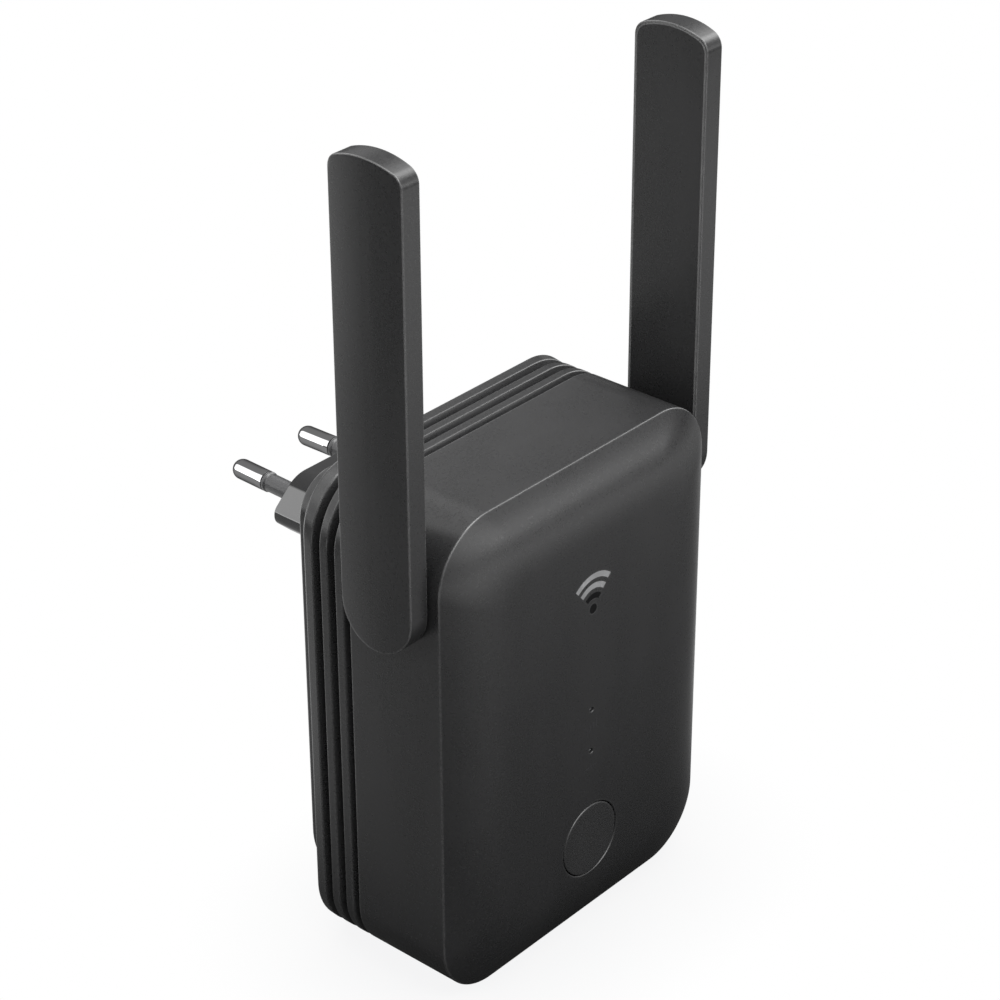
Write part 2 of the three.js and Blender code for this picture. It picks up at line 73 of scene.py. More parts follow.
BUTTON_Z, BUTTON_R, BUTTON_HOLE = -53.5, 7.42, 7.62
LED_Z = (-24.8, -33.8)
MARK_DROP = 3.6                          # from each light down to its printed mark
BADGE_Z, BADGE_DOT_R = -3.4, 0.95
BADGE_ARCS = ((2.1, 3.2), (4.1, 5.2), (6.1, 7.2))            # inner and outer radius
BADGE_DARK_R = 3.6                       # the badge is dark inside this radius

PIN_BASE_X, PIN_TIP_X, PIN_LEN, PIN_R, SLEEVE_END = 9.3, 8.75, 19.0, 2.0, 10.2

CASE_SCREWS = ((-26, 15), (26, 15), (-27, -58), (27, -58))   # x, z
MAIN_SCREWS = ((-18, 12), (18, 12), (-18, -64), (18, -64))
POWER_SCREWS = ((-17, 16), (17, -51))
MAIN_Y0, MAIN_Y1, POWER_Y0, POWER_Y1 = -54.6, -53.4, -36.5, -34.9    # faces of the two boards

SIDES = (("left", -1), ("right", 1))


# ------------------------------------------------------------------ shader graphs
class Graph:
    """Node tree of a material or world, with short ways to add nodes."""

    def __init__(self, owner, output="OutputMaterial"):
        owner.use_nodes = True
        self.tree = owner.node_tree
        self.tree.nodes.clear()
        self.out = self.add(output)
        self.relief = {}

    def add(self, kind, inputs=None, **settings):
        new = self.tree.nodes.new("ShaderNode" + kind)
        for name, value in settings.items():
            setattr(new, name, value)
        self.feed(new, inputs or {})
        return new

    def feed(self, target, inputs):
        """Each input takes a value, or a socket to be linked."""
        for key, value in inputs.items():
            if isinstance(value, bpy.types.NodeSocket):
                self.tree.links.new(value, target.inputs[key])
            else:
                target.inputs[key].default_value = value

    def end_with(self, shader):
        self.feed(self.out, {0: shader.outputs[0]})

    def noise(self, scale, detail=2.0, rough=0.5, stretch=None):
        vector = self.coord
        if stretch is not None:
            vector = self.add("Mapping", {"Scale": stretch, "Vector": vector}).outputs[0]
        inputs = {"Scale": scale, "Detail": detail, "Roughness": rough, "Vector": vector}
        return self.add("TexNoise", inputs).outputs["Fac"]

    def remap(self, value, span, to=(0.0, 1.0)):
        return self.add("MapRange", {
            "From Min": span[0], "From Max": span[1],
            "To Min": to[0], "To Max": to[1], "Value": value}).outputs[0]

    def mix(self, factor, first, second):
        inputs = {"Factor": factor}
        for index, color in ((6, first), (7, second)):
            inputs[index] = (*color, 1.0) if isinstance(color, tuple) else color
        return self.add("Mix", inputs, data_type="RGBA").outputs[2]

    def math(self, operation, *values):
        return self.add("Math", dict(enumerate(values)), operation=operation).outputs[0]

    def total(self, terms):
        return reduce(lambda first, second: self.math("ADD", first, second), terms)

    def dot(self, first, second):
        inputs = {0: first, 1: second}
        return self.add("VectorMath", inputs, operation="DOT_PRODUCT").outputs["Value"]

    def edge_mask(self):
        """1 on sharp edges, 0 on flats: how far a bevelled normal turns from the true one."""
        bevel = self.add("Bevel", {"Radius": 0.0002}, samples=4)
        geometry = self.add("NewGeometry")
        turn = self.dot(bevel.outputs[0], geometry.outputs["Normal"])
        return self.remap(turn, span=(0.995, 0.90))

    def rim_mask(self, reach):
        """1 on rounded outer edges, 0 on flats: how soon rays sent inwards come out again."""
        inner = self.add("AmbientOcclusion", {"Distance": reach},
                         samples=8, inside=True, only_local=True)
        return self.remap(inner.outputs["AO"], span=(0.96, 0.76))

    def surface(self, inputs):
        self.feed(self.bsdf, inputs)

    def bump(self, height, strength, distance):
        """Relief over any bump already added; distance in metres."""
        inputs = {"Strength": strength, "Distance": distance, "Height": height}
        bump = self.add("Bump", {**inputs, **self.relief})
        self.relief = {"Normal": bump.outputs[0]}
        self.surface(self.relief)


# ------------------------------------------------------------------ materials
MATERIALS = {}


def surface_graph(name):
    """Graph of a new material, with a principled shader and object coordinates."""
    MATERIALS[name] = bpy.data.materials.new(name)
    graph = Graph(MATERIALS[name])
    graph.bsdf = graph.add("BsdfPrincipled")
    graph.end_with(graph.bsdf)
    graph.coord = graph.add("TexCoord").outputs["Object"]
    return graph


def shade(color, gain=1.0, lift=0.0):
    return tuple(min(1, channel * gain + lift) for channel in color)


def moulded_plastic(name, color, rough, grain=0.35, grain_scale=5200, mottle=0.10, edge=0.5,
                    rim=0.0, calm=False, reach=0.0004):
    """Grained plastic with faint flow mottling; edge and rim paint highlights on its edges."""
    graph = surface_graph(name)
    fine = graph.noise(grain_scale, detail=3.0, rough=0.55)
    coarse = graph.noise(grain_scale * 0.37)
    flow = graph.noise(46, detail=3.0, rough=0.6, stretch=(1.0, 1.6, 0.5))
    specks = graph.noise(grain_scale * 0.6, detail=1.0)
    tone = graph.mix(graph.remap(flow, span=(0.35, 0.65)),
                     shade(color, 1 - mottle), shade(color, 1 + mottle))
    tone = graph.mix(graph.remap(specks, span=(0.50, 0.72), to=(0.0, 0.35)),
                     tone, shade(color, gain=1.7, lift=0.004))
    roughness = graph.remap(coarse, span=(0.3, 0.7), to=(rough - 0.04, rough + 0.04))
    roughness = graph.math("ADD", roughness,
                           graph.remap(flow, span=(0.3, 0.7), to=(-0.02, 0.02)))
    if edge:
        # painted highlight: sharp edges turn lighter and smoother, in patches
        patches = graph.noise(900, detail=4.0, rough=0.6)
        edge_highlight_mask = graph.math("MULTIPLY", graph.edge_mask(),
                          graph.remap(patches, span=(0.3, 0.7), to=(0.4 * edge, edge)))
        tone = graph.mix(edge_highlight_mask, tone, shade(color, gain=1.9, lift=0.01))
        roughness = graph.math("SUBTRACT", roughness, graph.math("MULTIPLY", edge_highlight_mask, 0.18))
    if rim:
        # painted highlight: rounded outer edges lifted lighter and smoother by rim
        patches = graph.noise(300, detail=3.0)
        rim_highlight_mask = graph.math("MULTIPLY", graph.rim_mask(reach),
                            graph.remap(patches, span=(0.3, 0.7), to=(0.8, 1.0)))
        if calm:
            rim_highlight_mask = graph.math("MULTIPLY", rim_highlight_mask, outside_middle(graph))
        tone = graph.mix(rim_highlight_mask, tone, shade(color, lift=rim))
        roughness = graph.math("SUBTRACT", roughness, graph.math("MULTIPLY", rim_highlight_mask, 0.08))
    graph.surface({"Base Color": tone, "Roughness": roughness, "IOR": 1.5})
    graph.bump(fine, strength=grain, distance=0.00002)
    graph.bump(coarse, strength=grain * 0.6, distance=0.00003)


def outside_middle(graph):
    """Near 0 in an upright strip along the middle, where small edges get little painted
    highlight; 1 outside.
    """
    place = graph.add("SeparateXYZ", {0: graph.coord}).outputs
    strip_z, low = 0.029, 0.12           # depth of the strip's centre in metres, mask inside it
    across = graph.math("ABSOLUTE", place["X"])
    along = graph.math("ABSOLUTE", graph.math("ADD", place["Z"], strip_z))
    return graph.math("MAXIMUM", graph.remap(across, span=(0.009, 0.011), to=(low, 1.0)),
                      graph.remap(along, span=(0.038, 0.040), to=(low, 1.0)))


def polished_plastic(name, color, rough, gloss=0.5):
    """Polished plastic with fine scratches, specks of dust and slight waviness."""
    graph = surface_graph(name)
    wave = graph.noise(160)
    scratches = graph.noise(2600, rough=0.6, stretch=(1.0, 0.06, 1.0))
    dust = graph.noise(1500, detail=3.0, rough=0.6)
    tone = graph.mix(graph.remap(dust, span=(0.58, 0.75), to=(0.0, 0.25)),
                     color, shade(color, gain=2.0, lift=0.01))
    roughness = 0.0
    if rough > 0:
        roughness = graph.remap(scratches, span=(0.45, 0.75), to=(rough, rough + 0.07))
    graph.surface({"Base Color": tone, "Roughness": roughness, "IOR": 1.55,
                   "Specular IOR Level": gloss})
    graph.bump(wave, strength=0.10, distance=0.00006)
    graph.bump(scratches, strength=0.05 if rough > 0 else 0.01, distance=0.00001)


def metal(name, color, rough, brush=(1.0, 1.0, 1.0), brush_scale=2400, tarnish=0.15,
          relief=0.05, grazing_shade=1.0):
    """Metal brushed one way, faintly tarnished, with bright edges; a painted shade darkens it
    where it is seen edge-on.
    """
    graph = surface_graph(name)
    brushing = graph.noise(brush_scale, detail=3.0, rough=0.6, stretch=brush)
    stain = graph.noise(320, detail=4.0, rough=0.6)
    tone = graph.mix(graph.remap(stain, span=(0.45, 0.75), to=(0.0, tarnish)),
                     color, shade(color, gain=0.62))
    tone = graph.mix(graph.math("MULTIPLY", graph.edge_mask(), 0.5),
                     tone, shade(color, gain=1.15))
    if grazing_shade < 1:
        # painted shade: colour and tint darkened where the surface is seen edge-on, standing in
        # for dark surroundings reflected there
        facing = graph.add("LayerWeight", {"Blend": 0.5}).outputs["Facing"]
        tone = graph.mix(graph.remap(facing, span=(0.45, 0.85)), tone, shade(color, grazing_shade))
        graph.surface({"Specular Tint": (grazing_shade, grazing_shade, grazing_shade, 1)})
    roughness = 0.0
    if rough > 0:
        roughness = graph.remap(brushing, span=(0.3, 0.7), to=(rough * 0.8, rough * 1.25))
        roughness = graph.math("ADD", roughness,
                               graph.remap(stain, span=(0.4, 0.8), to=(0.0, 0.08)))
    graph.surface({"Metallic": 1.0, "Base Color": tone, "Roughness": roughness})
    graph.bump(brushing, strength=relief, distance=0.00001)


def clear_plastic(name):
    graph = surface_graph(name)
    haze = graph.noise(900, detail=3.0, rough=0.6)
    graph.surface({
        "Transmission Weight": 0.85, "IOR": 1.49,
        "Base Color": graph.mix(haze, (0.78, 0.80, 0.82), (0.92, 0.94, 0.95)),
        "Roughness": graph.remap(haze, span=(0.3, 0.7), to=(0.05, 0.18))})
    graph.bump(haze, strength=0.1, distance=0.00002)


def circuit_board(name):
    """Solder mask over copper: tracks, vias and the weave of the glass cloth."""
    graph = surface_graph(name)
    place = graph.add("SeparateXYZ", {0: graph.coord}).outputs
    flat = graph.add("CombineXYZ", {0: place[0], 1: place[2]}).outputs[0]
    cells = graph.add("TexVoronoi", {"Scale": 420, "Randomness": 0.7, "Vector": flat},
                      distance="MANHATTAN", feature="F1").outputs["Distance"]
    track = graph.remap(cells, span=(0.42, 0.50))
    via = graph.remap(cells, span=(0.05, 0.09), to=(1.0, 0.0))
    weave = graph.noise(3000, detail=1.0)
    tone = graph.mix(graph.remap(weave, span=(0.3, 0.7)),
                     (0.012, 0.085, 0.035), (0.018, 0.115, 0.050))
    tone = graph.mix(track, tone, (0.035, 0.20, 0.09))
    tone = graph.mix(via, tone, (0.62, 0.60, 0.54))
    graph.surface({"Base Color": tone, "Metallic": via,
                   "Roughness": graph.remap(weave, span=(0.3, 0.7), to=(0.28, 0.42))})
    graph.bump(track, strength=0.4, distance=0.00004)
    graph.bump(weave, strength=0.15, distance=0.00002)


def winding_tape(name):
    """Layered tape over the coils."""
    graph = surface_graph(name)
    inputs = {"Scale": 95, "Distortion": 1.2, "Vector": graph.coord}
    layers = graph.add("TexWave", inputs, bands_direction="Z").outputs["Fac"]
    patches = graph.noise(700, detail=3.0)
    tone = graph.mix(layers, (0.52, 0.33, 0.02), (0.72, 0.50, 0.05))
    tone = graph.mix(graph.remap(patches, span=(0.5, 0.8), to=(0.0, 0.4)),
                     tone, (0.30, 0.18, 0.01))
    graph.surface({"Base Color": tone,
                   "Roughness": graph.remap(patches, span=(0.3, 0.7), to=(0.18, 0.34))})
    graph.bump(layers, strength=0.3, distance=0.00008)
    graph.bump(patches, strength=0.1, distance=0.00004)


def rubber(name, color, rough):
    graph = surface_graph(name)
    patches = graph.noise(1500, detail=4.0, rough=0.6)
    graph.surface({
        "Base Color": graph.mix(patches, shade(color, gain=0.8), shade(color, gain=1.15)),
        "Roughness": graph.remap(patches, span=(0.3, 0.7), to=(rough - 0.08, rough + 0.08))})
    graph.bump(patches, strength=0.4, distance=0.00004)


CASE_BLACK = (0.0105, 0.0105, 0.0108)
# edge and rim set painted highlights on edges: patchy on sharp ones, even on rounded ones
moulded_plastic("case_plastic", CASE_BLACK, rough=0.30, edge=0, rim=0.070, calm=True)
moulded_plastic("rear_plastic", CASE_BLACK, rough=0.30, edge=0, rim=0.040)
moulded_plastic("antenna_plastic", CASE_BLACK, rough=0.30, edge=0, rim=0.105, reach=0.00025)
moulded_plastic("button_plastic", (0.014, 0.014, 0.0143), rough=0.28, grain=0.25, edge=0,
                rim=0.008)
polished_plastic("plug_plastic", (0.009, 0.009, 0.0093), rough=0.0, gloss=0.9)
moulded_plastic("sleeve_plastic", (0.028, 0.028, 0.029), rough=0.34, grain=0.02, edge=0,
                mottle=0.04)
# the pins carry a painted shade where they are seen edge-on
metal("pin_metal", (0.46, 0.46, 0.465), rough=0.0, brush=(1.0, 0.05, 1.0), brush_scale=2600,
      tarnish=0.10, relief=0.01, grazing_shade=0.35)
metal("contact_metal", (0.72, 0.47, 0.22), rough=0.28, brush=(1.0, 1.0, 0.1))
circuit_board("circuit_board")
moulded_plastic("ferrite", (0.045, 0.042, 0.040), rough=0.72, grain=0.6, grain_scale=2400)
winding_tape("winding_tape")
polished_plastic("capacitor_sleeve", (0.015, 0.018, 0.035), rough=0.22)
moulded_plastic("component_black", (0.016, 0.016, 0.018), rough=0.55, grain=0.3,
                grain_scale=3000)
clear_plastic("fuse_glass")
rubber("thermal_pad", (0.30, 0.38, 0.46), rough=0.8)
metal("tinned_steel", (0.66, 0.67, 0.69), rough=0.30, brush=(0.15, 1.0, 1.0),
      brush_scale=1800, tarnish=0.25)
clear_plastic("clear_plastic")
moulded_plastic("white_plastic", (0.72, 0.71, 0.67), rough=0.40, grain=0.15, edge=0.1)
metal("badge_metal", (0.62, 0.62, 0.63), rough=0.34, brush=(1.0, 1.0, 0.2),
      brush_scale=3000, tarnish=0.1)
metal("badge_metal_dark", (0.018, 0.018, 0.019), rough=0.34, brush=(1.0, 1.0, 0.2),
      brush_scale=3000, tarnish=0.1)
metal("screw_steel", (0.50, 0.51, 0.53), rough=0.26, brush=(1.0, 0.2, 1.0),
      brush_scale=2200, tarnish=0.2)
moulded_plastic("cable_jacket", (0.015, 0.015, 0.016), rough=0.36, grain=0.1)
metal("connector_brass", (0.80, 0.60, 0.24), rough=0.22)
moulded_plastic("marking_ink", (0.012, 0.012, 0.013), rough=0.35, grain=0.1, edge=0.2)


# ------------------------------------------------------------------ outlines, in mm
def arc_points(x, z, radius, start, end, steps):
    angles = [start + (end - start) * i / steps for i in range(steps + 1)]
    return [(x + radius * math.cos(a), z + radius * math.sin(a)) for a in angles]


def circle(z, radius, count):
    """Circle on the centre line x = 0."""
    return arc_points(0, z, radius, 0, 2 * math.pi * (count - 1) / count, count - 1)


def rounded(half_w, top, bottom, top_r, bottom_r=None, steps=24, mid=6):
    """Rounded rectangle, anticlockwise from +X; mid adds points along each straight."""
    bottom_r = top_r if bottom_r is None else bottom_r
    quarter = math.pi / 2
    top_x, bottom_x = half_w - top_r, half_w - bottom_r
    arcs = [arc_points(x, z, radius, k * quarter, (k + 1) * quarter, steps)
            for k, (x, z, radius) in enumerate((
                (top_x, top - top_r, top_r), (-top_x, top - top_r, top_r),
                (-bottom_x, bottom + bottom_r, bottom_r),
                (bottom_x, bottom + bottom_r, bottom_r)))]
    points = []
    for k, arc in enumerate(arcs):
        points += arc
        (x0, z0), (x1, z1) = arc[-1], arcs[(k + 1) % 4][0]
        for i in range(1, mid + 1):
            t = i / (mid + 1)
            points.append((x0 * (1 - t) + x1 * t, z0 * (1 - t) + z1 * t))
    return points


def case_loop(inset, radius=None):
    return rounded(HALF_W - inset, TOP - inset, BOTTOM + inset,
                   CORNER_R - inset if radius is None else radius)


def pad_loop(inset):
    return rounded(PAD_HALF_W - inset, PAD_TOP - inset, PAD_BOTTOM + inset,
                   PAD_TOP_R - 0.6 * inset, PAD_BOTTOM_R - inset)


def corner_arc(before, corner, after, steps):
    """Arc in place of a corner (a, b, radius); a corner that hardly turns stays a point."""
    x, y, radius = corner
    if radius <= 0:
        return [(x, y)]
    tip, start, end = Vector((x, y)), Vector(before[:2]), Vector(after[:2])
    back, ahead = (start - tip).normalized(), (end - tip).normalized()
    angle = back.angle(ahead)
    if angle > math.pi - 0.02:
        return [(x, y)]
    cut = min(radius / math.tan(angle / 2), (start - tip).length * 0.49,
              (end - tip).length * 0.49)
    radius = cut * math.tan(angle / 2)
    center = tip + (back + ahead).normalized() * (radius / math.sin(angle / 2))
    first, last = tip + back * cut - center, tip + ahead * cut - center
    sweep = first.angle(last)
    turn = 1 if (first.x * last.y - first.y * last.x) > 0 else -1
    heading = math.atan2(first.y, first.x)
    angles = [heading + turn * sweep * k / steps for k in range(steps + 1)]
    return [(center.x + radius * math.cos(a), center.y + radius * math.sin(a))
            for a in angles]


def fillet_path(points, steps=5):
    """Open line of (a, b, radius) with its corners rounded."""
    path = [points[0][:2]]
    for before, corner, after in zip(points, points[1:], points[2:]):
        path += corner_arc(before, corner, after, steps)
    return path + [points[-1][:2]]


def round_polygon(points, steps):
    """Closed outline of (a, b, radius) with its corners rounded."""
    outline = []
    for i, corner in enumerate(points):
        outline += corner_arc(points[i - 1], corner, points[(i + 1) % len(points)], steps)
    return outline


def inset_polygon(points, inset):
    """Moves every point of an anticlockwise outline inwards."""
    moved = []
    for i, (x, z) in enumerate(points):
        before, after = Vector(points[i - 1]), Vector(points[(i + 1) % len(points)])
        along = (after - before).normalized()
        moved.append((x - along.y * inset, z + along.x * inset))
    return moved


def in_y(loop, y):
    return [(x, y, z) for x, z in loop]


# ------------------------------------------------------------------ meshes
def sealed(bm):
    """Welds a closed mesh and turns its faces outwards."""
    bmesh.ops.remove_doubles(bm, verts=bm.verts, dist=1e-7)
    bmesh.ops.recalc_face_normals(bm, faces=bm.faces)
    if bm.calc_volume(signed=True) < 0:
        bmesh.ops.reverse_faces(bm, faces=bm.faces)
    return bm


def loft(loops):
    """Skin over loops with equal numbers of 3-D points, capped at both ends."""
    bm = bmesh.new()
    rows = [[bm.verts.new(Vector(p) * MM) for p in loop] for loop in loops]
    count = len(rows[0])
    for row, following in zip(rows, rows[1:]):
        for i in range(count):
            j = (i + 1) % count
            bm.faces.new((row[i], row[j], following[j], following[i]))
    bm.faces.new(list(reversed(rows[0])))
    bm.faces.new(rows[-1])
    return sealed(bm)


def prism(points, y0, y1):
    return loft([in_y(points, y0), in_y(points, y1)])


def lathe(profile, steps, center=(0, 0), axis="y"):
    """Turns (radius, place along axis) points; closed on itself or from axis to axis."""
    bm = bmesh.new()
    across, up = center

    def vertex(along, u, v):
        spots = {"x": (along, across + u, up + v), "y": (across + u, along, up + v)}
        return bm.verts.new(Vector(spots[axis]) * MM)

    rows = []
    for radius, along in profile:
        if radius < 1e-9:
            rows.append([vertex(along, 0, 0)])
        else:
            angles = [2 * math.pi * i / steps for i in range(steps)]
            rows.append([vertex(along, radius * math.cos(a), radius * math.sin(a))
                         for a in angles])
    pairs = list(zip(rows, rows[1:]))
    if len(rows[0]) > 1:
        pairs.append((rows[-1], rows[0]))
    for row, following in pairs:
        for i in range(steps):
            j = (i + 1) % steps
            if len(row) == 1:
                bm.faces.new((row[0], following[j], following[i]))
            elif len(following) == 1:
                bm.faces.new((row[i], row[j], following[0]))
            else:
                bm.faces.new((row[i], row[j], following[j], following[i]))
    return sealed(bm)


def rod(radius, y0, y1, center, steps, chamfer=0.0):
    profile = [(radius, y0), (radius, y1)]
    if chamfer:
        profile = [(radius - chamfer, y0), (radius, y0 + chamfer),
                   (radius, y1 - chamfer), (radius - chamfer, y1)]
    return lathe([(0, y0)] + profile + [(0, y1)], steps, center)


def hole(radius, inner, mouth, center, chamfer, steps, axis="y", way=-1):
    """Cutter whose mouth opens with a small chamfer; way is the sign of the way out."""
    far = mouth + way * 2.0
    wide = radius + chamfer
    return lathe([(0, inner), (radius, inner), (radius, mouth - way * chamfer),
                  (wide, mouth), (wide + 2.0, far), (0, far)], steps, center, axis)


def box(x0, x1, y0, y1, z0, z1, bevel, segments):
    bm = bmesh.new()
    bmesh.ops.create_cube(bm, size=1.0)
    for v in bm.verts:
        v.co = Vector(((x0 + x1) / 2 + v.co.x * (x1 - x0), (y0 + y1) / 2 + v.co.y * (y1 - y0),
                       (z0 + z1) / 2 + v.co.z * (z1 - z0))) * MM
    bmesh.ops.bevel(bm, geom=list(bm.edges), offset=bevel * MM, segments=segments,
                    profile=0.5, affect="EDGES", clamp_overlap=True)
    return bm


def make_object(bm, name="part"):
    mesh = bpy.data.meshes.new(name)
    bm.to_mesh(mesh)
    bm.free()
    part = bpy.data.objects.new(name, mesh)
    bpy.context.scene.collection.objects.link(part)
    return part


def merged(pieces):
    """One object from several separate closed meshes."""
    together = bmesh.new()
    for piece in pieces:
        mesh = bpy.data.meshes.new("piece")
        piece.to_mesh(mesh)
        piece.free()
        together.from_mesh(mesh)
        bpy.data.meshes.remove(mesh)
    return make_object(together)


def boolean(base, tool, operation="DIFFERENCE"):
    """Applies the tool object to the base and removes the tool."""
    modifier = base.modifiers.new("boolean", "BOOLEAN")
    modifier.operation = operation
    modifier.solver = "EXACT"
    modifier.object = tool
    depsgraph = bpy.context.evaluated_depsgraph_get()
    mesh = bpy.data.meshes.new_from_object(base.evaluated_get(depsgraph))
    base.modifiers.clear()
    old_mesh, tool_mesh = base.data, tool.data
    base.data = mesh
    bpy.data.meshes.remove(old_mesh)
    bpy.data.objects.remove(tool)
    bpy.data.meshes.remove(tool_mesh)


def finish(part, name, material, replaces=None, body="case", angle=32,
           second_material=None, weighted=True):
    """Names and cleans a piece, marks edges sharper than angle and hands it to its body."""
    part.name = name
    part.data.name = name
    bm = bmesh.new()
    bm.from_mesh(part.data)
    bmesh.ops.remove_doubles(bm, verts=bm.verts, dist=2e-7)
    bmesh.ops.dissolve_degenerate(bm, edges=bm.edges, dist=1e-7)
    for face in bm.faces:
        face.smooth = True
    limit = math.radians(angle)
    for edge in bm.edges:
        edge.smooth = len(edge.link_faces) == 2 and edge.calc_face_angle(0) <= limit
    if not weighted:                     # large flat faces keep a flat normal to their border
        for face in bm.faces:
            if len(face.verts) > 8 and face.calc_area() > 12e-6:
                for edge in face.edges:
                    edge.smooth = False
    bm.to_mesh(part.data)
    bm.free()
    part.data.materials.clear()
    part.data.materials.append(MATERIALS[material])
    if second_material:
        part.data.materials.append(MATERIALS[second_material])
    if weighted:
        modifier = part.modifiers.new("weighted", "WEIGHTED_NORMAL")
        modifier.keep_sharp = True
        modifier.weight = 80
    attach(part, body)
    if replaces:
        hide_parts(replaces)


# ------------------------------------------------------------------ front housing
def pillow_y(inset):
    """Y of the domed border of the front at an inset from the outline."""
    return Y_CREASE - (Y_CREASE - Y_FRONT) * (1 - (1 - inset / PILLOW_IN) ** PILLOW_POW)


def front_outer_profile():
    """(inset, y) from the flat of the front, over its edge and back to the rear rim."""
    steps = 22
    insets = [PILLOW_IN * (1 - i / steps) ** 1.25 for i in range(steps + 1)]
    border = [(inset, pillow_y(inset)) for inset in insets if inset > 0.35]
    edge = fillet_path([(0.8, pillow_y(0.8), 0), (0.0, Y_CREASE, 0.34),
                        (0.0, Y_CREASE + 3, 0)])[1:-1]
    flank = [(0.0, Y_CREASE + 2.5), (0.0, (Y_CREASE + Y_MAIN) / 2)]
    rim = fillet_path([(0.0, Y_MAIN - 2.0, 0), (0.0, Y_MAIN, 0.28), (1.2, Y_MAIN, 0)], 4)
    return border + edge + flank + rim


def front_inner_profile():
    """(inset, y) from the rear rim down the wall and onto the floor of the hollow."""
    floor_y = Y_FRONT + WALL
    floor_path = fillet_path([(WALL, -56.0, 0), (WALL, -57.0, 1.2), (8.0, -58.9, 4),
                              (14.5, floor_y, 3), (17.0, floor_y, 0)])
    return [(WALL, Y_MAIN), (WALL, -46.0), (WALL, -55.9)] + floor_path[1:]


def inner_radius(inset):
    if inset <= WALL:
        return CORNER_R - inset
    return CORNER_R - WALL - 0.5 * (inset - WALL)


def port_outline(z, grow=0.0):
    """Opening in the bottom face."""
    outline = rounded(8.4 + grow, -40.2 + grow, -53.3 - grow, 0.6 + grow, steps=6, mid=0)
    return [(x, y, z) for x, y in outline]


def badge_shapes(grow):
    """A dot under three arcs, widened by grow."""
    shapes = [circle(BADGE_Z, BADGE_DOT_R + grow, 40)]
    for inner, outer in BADGE_ARCS:
        start = math.radians(48) - grow / outer
        end = math.radians(132) + grow / outer
        inside = arc_points(0, BADGE_Z, inner - grow, start, end, 30)
        outside = arc_points(0, BADGE_Z, outer + grow, start, end, 30)
        shapes.append(outside + list(reversed(inside)))
    return shapes


def build_front():
    loops = [in_y(case_loop(inset, CORNER_R - 0.5 * inset), y)
             for inset, y in front_outer_profile()]
    loops += [in_y(case_loop(inset, inner_radius(inset)), y)
              for inset, y in front_inner_profile()]
    front = make_object(loft(loops))

    posts = [rod(3.2, -59.2, -38.3, place, 32, chamfer=0.25) for place in CASE_SCREWS]
    posts += [rod(2.2, -60.4, MAIN_Y0 - 0.1, place, 28, chamfer=0.2) for place in MAIN_SCREWS]
    boolean(front, merged(posts), "UNION")

    case_bore = [(0, -46), (1.5, -46), (1.5, -38.6), (1.9, -38.1), (1.9, -37.5), (0, -37.5)]
    cuts = [hole(BUTTON_HOLE, -57.2, Y_FRONT, (0, BUTTON_Z), chamfer=0.14, steps=96)]
    cuts += [hole(0.52, -58.5, Y_FRONT, (0, z), chamfer=0.08, steps=40) for z in LED_Z]
    cuts += [lathe(case_bore, 24, place) for place in CASE_SCREWS]
    cuts += [rod(1.2, -58.5, MAIN_Y0, place, 20) for place in MAIN_SCREWS]
    boolean(front, merged(cuts))
    pivots = [hole(4.1, side * 31, side * HALF_W, (ANT_Y, ANT_Z), chamfer=0.25, steps=48,
                   axis="x", way=side) for _, side in SIDES]
    boolean(front, merged(pivots))
    boolean(front, make_object(loft([port_outline(BOTTOM + 5), port_outline(BOTTOM + 0.25),
                                     port_outline(BOTTOM - 0.25, grow=0.5)])))
    boolean(front, merged([prism(shape, Y_FRONT - 1, Y_FRONT + 0.3)
                           for shape in badge_shapes(0.04)]))
    finish(front, "front_housing_skin", "case_plastic", "front_housing")


def build_badge():
    badge = merged([prism(shape, Y_FRONT + 0.03, Y_FRONT + 0.32)
                    for shape in badge_shapes(0.0)])
    finish(badge, "badge_inlay", "badge_metal", "front_badge",
           second_material="badge_metal_dark", weighted=False)
    for face in badge.data.polygons:
        reach = math.hypot(face.center.x, face.center.z - BADGE_Z * MM)
        face.material_index = 1 if reach < BADGE_DARK_R * MM else 0


# ------------------------------------------------------------------ rear housing
def ring_profile():
    """(inset, y) along the ringed flank, front to back."""
    corners = [(GROOVE, TONGUE_Y, 0.0)]
    for rear_y, width, foot_r, edge_r in RINGS:
        corners += [(GROOVE, rear_y - width - RING_DRAFT, foot_r),
                    (0.0, rear_y - width - 0.05, RING_EDGE),
                    (0.0, rear_y, edge_r), (GROOVE, rear_y, 0.2)]
    corners[-1] = (3.0, RINGS_END, 0)    # no groove behind the last ring
    return fillet_path(corners, 7)[:-1]


def ring_loop(inset, y):
    """Outline of the ringed flank; the last ring draws in slightly towards the pad."""
    draw = min(1.0, max(0.0, (y - RINGS_END + RINGS_END_W) / RINGS_END_W)) ** 2
    return rounded(HALF_W - inset - 0.3 * draw, TOP - inset, BOTTOM + inset,
                   CORNER_R - inset - 1.5 * draw, CORNER_R - inset)


# Outline of the plug block: x, z, corner radius
PLUG = round_polygon([
    (17.65, -1.1, 2.2), (17.65, 1.1, 2.2), (11.9, 6.3, 7.0), (-11.9, 6.3, 7.0),
    (-17.65, 1.1, 2.2), (-17.65, -1.1, 2.2), (-11.9, -6.3, 7.0), (11.9, -6.3, 7.0)], 14)


